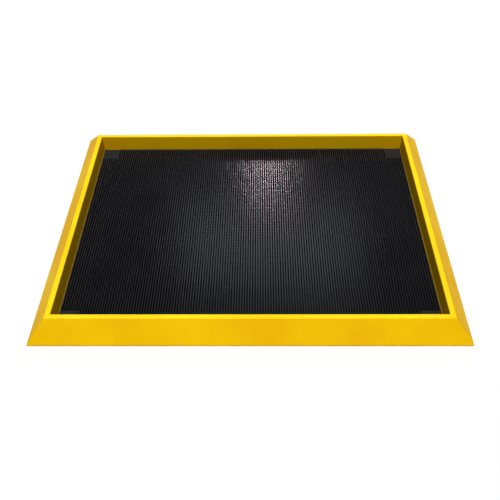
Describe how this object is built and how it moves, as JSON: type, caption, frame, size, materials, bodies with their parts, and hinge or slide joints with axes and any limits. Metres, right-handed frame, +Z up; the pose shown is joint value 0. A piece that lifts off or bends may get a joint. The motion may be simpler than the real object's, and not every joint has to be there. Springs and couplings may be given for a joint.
{
  "type": "spill containment tray",
  "caption": "Low rectangular containment tray with ramped sides, a flat rim and a shallow sump, holding a lift-out rubber finger mat for wet boots or leaks.",
  "frame": {"origin": "floor level under the middle of the tray, on the underside of the centre grip pad", "axes": "+X along the tray's length, to the right as seen from the front; +Y to the back; +Z up"},
  "size_m": [0.991, 0.813, 0.05],
  "materials": {
    "tray_plastic": "satin moulded yellow polyethylene",
    "mat_rubber": "semi-gloss moulded black rubber",
    "pad_rubber": "matt black rubber"
  },
  "bodies": {
    "tray": {"tray": "tray_plastic", "grip_pad_1": "pad_rubber", "grip_pad_2": "pad_rubber", "grip_pad_3": "pad_rubber", "grip_pad_4": "pad_rubber", "grip_pad_5": "pad_rubber", "grip_pad_6": "pad_rubber", "grip_pad_7": "pad_rubber", "grip_pad_8": "pad_rubber", "grip_pad_9": "pad_rubber"},
    "mat": {"scrubber_mat": "mat_rubber"}
  },
  "joints": [
    {"name": "mat_lift", "type": "slide", "parent": "tray", "child": "mat", "axis": [0, 0, 1], "range_m": [0, 0.1]}
  ]
}
